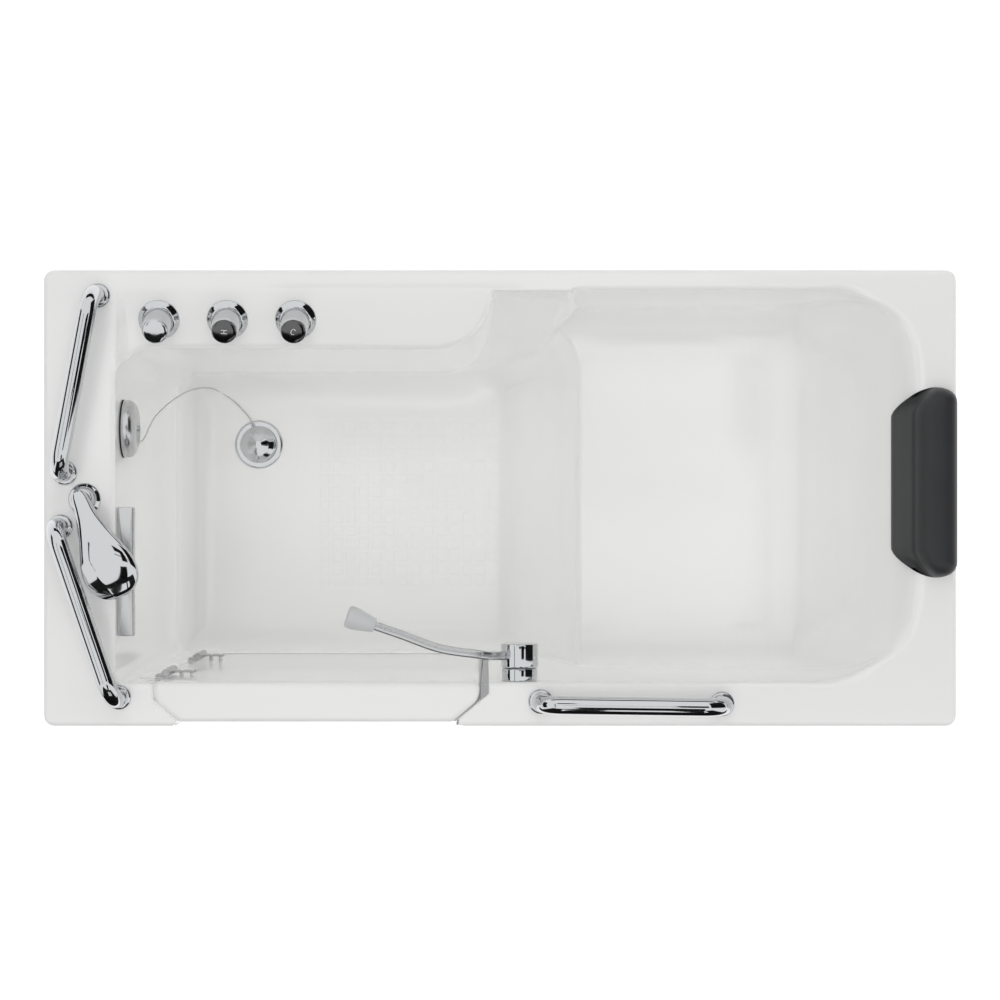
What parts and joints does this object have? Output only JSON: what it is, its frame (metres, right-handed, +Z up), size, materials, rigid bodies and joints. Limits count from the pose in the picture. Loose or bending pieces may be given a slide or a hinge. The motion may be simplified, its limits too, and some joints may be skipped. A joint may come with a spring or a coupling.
{
  "type": "walk-in bathtub with door",
  "caption": "Walk-in bathtub with an inward-swinging side door, moulded seat, deck taps, waterfall spout, hand shower, grab bars and head pillow.",
  "frame": {"origin": "centre of the tub's footprint on the floor", "axes": "+X along the tub to the head end, +Y to the wall side, -Y to the door side, +Z up"},
  "size_m": [1.524, 0.762, 1.056],
  "materials": {
    "gelcoat": "glossy white gel coat",
    "door_gelcoat": "glossy white gel coat",
    "chrome": "polished",
    "stainless": "satin",
    "frame_steel": "powder coated grey",
    "zinc_steel": "zinc plated",
    "brass": "as cast and turned",
    "pipe_plastic": "moulded",
    "black_plastic": "moulded",
    "tap_disc": "glossy black",
    "gasket": "soft grey silicone",
    "grip": "soft grey",
    "pillow": "self-skinned foam, fine grain",
    "cord": "sleeved cable",
    "plywood": "resin-sealed"
  },
  "bodies": {
    "tub": {"tub_shell": "gelcoat", "front_panel": "gelcoat", "access_panel": "gelcoat", "panel_screws": "chrome", "foot_end_panel": "gelcoat", "head_end_panel": "gelcoat", "frame_rails": "frame_steel", "frame_cross_members": "frame_steel", "frame_posts": "frame_steel", "seat_supports": "frame_steel", "foot_studs": "zinc_steel", "foot_pads": "black_plastic", "foot_locknuts": "zinc_steel", "door_gasket": "gasket", "door_sill_strip": "stainless", "hinge_jamb_leaves": "stainless", "hinge_pins": "stainless", "lever_base": "chrome", "grab_bar_wall_side": "chrome", "grab_bar_foot_end": "chrome", "grab_bar_door_side": "chrome", "grab_bar_rings": "chrome", "grab_bar_studs": "zinc_steel", "tap_flanges": "chrome", "valve_bodies": "brass", "fitting_locknuts": "brass", "mixer_pipe": "brass", "supply_pipes": "brass", "spout_feed_pipe": "brass", "waterfall_spout": "chrome", "overflow_cover": "chrome", "overflow_screw": "chrome", "overflow_elbow": "pipe_plastic", "overflow_pipe": "pipe_plastic", "drain_flange": "chrome", "drain_body": "pipe_plastic", "drain_locknut": "brass", "waste_tailpiece": "chrome", "shower_holder": "chrome", "pillow": "pillow", "pillow_suckers": "black_plastic", "stopper_cord": "cord"},
    "door": {"door_inner_shell": "door_gelcoat", "door_outer_skin": "door_gelcoat", "door_core": "plywood", "hinge_door_leaves": "stainless"},
    "lever": {"lever_hub": "chrome", "lever_arm": "chrome", "lever_grip": "grip", "lever_spindle": "zinc_steel"},
    "diverter": {"diverter_knob": "chrome"},
    "hot_tap": {"hot_knob": "chrome", "hot_disc": "tap_disc"},
    "cold_tap": {"cold_knob": "chrome", "cold_disc": "tap_disc"},
    "handset": {"handset_shell": "chrome", "handset_shank": "chrome", "spray_face": "black_plastic"},
    "stopper": {"stopper_cap": "chrome", "stopper_seal": "gasket"}
  },
  "joints": [
    {"name": "door_swing", "type": "hinge", "parent": "tub", "child": "door", "pos_m": [-0.567, -0.297, 0.5], "axis": [0, 0, 1], "range_deg": [0, 90]},
    {"name": "lever_turn", "type": "hinge", "parent": "tub", "child": "lever", "pos_m": [0.033, -0.285, 0.931], "axis": [0, 1, 0], "range_deg": [0, 90]},
    {"name": "diverter_turn", "type": "hinge", "parent": "tub", "child": "diverter", "pos_m": [-0.571, 0.299, 0.94363], "axis": [0, -0.4067, 0.9135], "range_deg": [0, 90]},
    {"name": "hot_turn", "type": "hinge", "parent": "tub", "child": "hot_tap", "pos_m": [-0.4565, 0.299, 0.94363], "axis": [0, -0.4067, 0.9135], "range_deg": [0, 90]},
    {"name": "cold_turn", "type": "hinge", "parent": "tub", "child": "cold_tap", "pos_m": [-0.342, 0.299, 0.94363], "axis": [0, -0.4067, 0.9135], "range_deg": [0, 90]},
    {"name": "handset_lift", "type": "slide", "parent": "tub", "child": "handset", "axis": [0, 0, 1], "range_m": [0, 0.08]},
    {"name": "stopper_lift", "type": "slide", "parent": "tub", "child": "stopper", "axis": [0, 0, 1], "range_m": [0, 0.06]}
  ]
}
